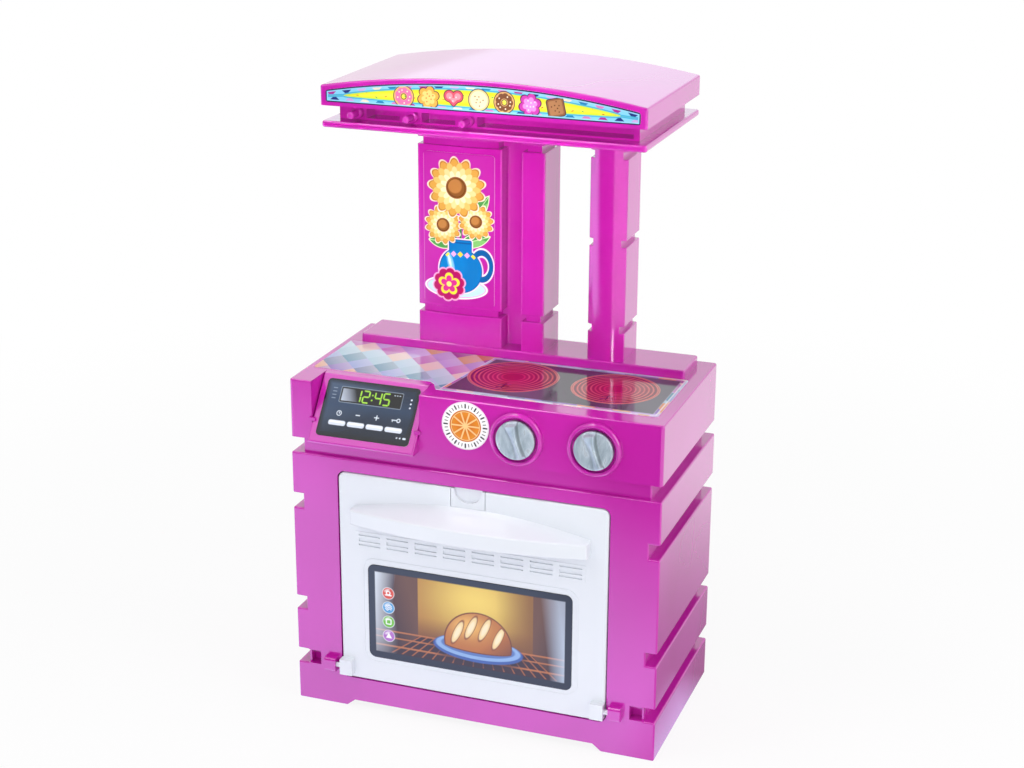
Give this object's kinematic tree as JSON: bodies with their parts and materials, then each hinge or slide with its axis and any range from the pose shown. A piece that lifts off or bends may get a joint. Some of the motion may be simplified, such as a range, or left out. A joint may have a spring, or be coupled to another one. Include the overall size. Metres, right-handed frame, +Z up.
{
  "type": "play kitchen",
  "caption": "Free-standing toy kitchen: oven cabinet with a drop-down door, console with printed hob, display and turning knobs, two columns and an arched hood with hanging pegs.",
  "frame": {"origin": "on the floor, under the middle of the whole kitchen's box", "axes": "+Z up, +Y towards the back, +X to the right of someone playing at the front"},
  "size_m": [0.37, 0.2298, 0.6317],
  "materials": {
    "magenta_plastic": "glossy moulded polypropylene, pearly magenta",
    "white_plastic": "glossy moulded white polystyrene",
    "grey_plastic": "matt moulded grey sheet",
    "knob_plastic": "silver-grey moulded plastic with a metallic pigment",
    "screw_steel": "zinc-plated self-tapping screws",
    "clip_steel": "spring steel",
    "display_film": "printed vinyl film, dark blue display",
    "worktop_film": "printed vinyl film, hob and tiles",
    "badge_film": "printed vinyl film, round badge",
    "column_film": "printed vinyl film, flowers",
    "banner_film": "printed vinyl film, banner",
    "window_film": "printed vinyl film, oven window"
  },
  "bodies": {
    "root": {"cabinet_shell": "magenta_plastic", "oven_floor": "grey_plastic", "back_panel": "magenta_plastic", "back_screws": "screw_steel", "console_base": "magenta_plastic", "console_screws": "screw_steel", "console_shell": "magenta_plastic", "display_panel": "magenta_plastic", "display_label": "display_film", "worktop_label": "worktop_film", "round_label": "badge_film", "column_wide": "magenta_plastic", "column_label": "column_film", "column_narrow": "magenta_plastic", "hood_tray": "magenta_plastic", "peg_left": "magenta_plastic", "peg_middle": "magenta_plastic", "peg_right": "magenta_plastic", "hood_shell": "magenta_plastic", "hood_screws": "screw_steel", "hood_label": "banner_film"},
    "oven_door": {"oven_door": "white_plastic", "window_label": "window_film"},
    "door_latch": {"door_latch": "white_plastic"},
    "knob_left": {"knob_left": "knob_plastic", "knob_clip_left": "clip_steel"},
    "knob_right": {"knob_right": "knob_plastic", "knob_clip_right": "clip_steel"}
  },
  "joints": [
    {"name": "door_hinge", "type": "hinge", "parent": "root", "child": "oven_door", "pos_m": [0, -0.0921, 0.046], "axis": [1, 0, 0], "range_deg": [0, 90]},
    {"name": "latch_press", "type": "hinge", "parent": "oven_door", "child": "door_latch", "pos_m": [-0.0026, -0.0846, 0.2268], "axis": [-1, 0, 0], "range_deg": [0, 8], "stiffness_Nm_per_rad": 0.1},
    {"name": "knob_left_turn", "type": "hinge", "parent": "root", "child": "knob_left", "pos_m": [0.0458, -0.0879, 0.3087], "axis": [0, -1, 0], "continuous": true},
    {"name": "knob_right_turn", "type": "hinge", "parent": "root", "child": "knob_right", "pos_m": [0.1209, -0.0879, 0.3087], "axis": [0, -1, 0], "continuous": true}
  ]
}
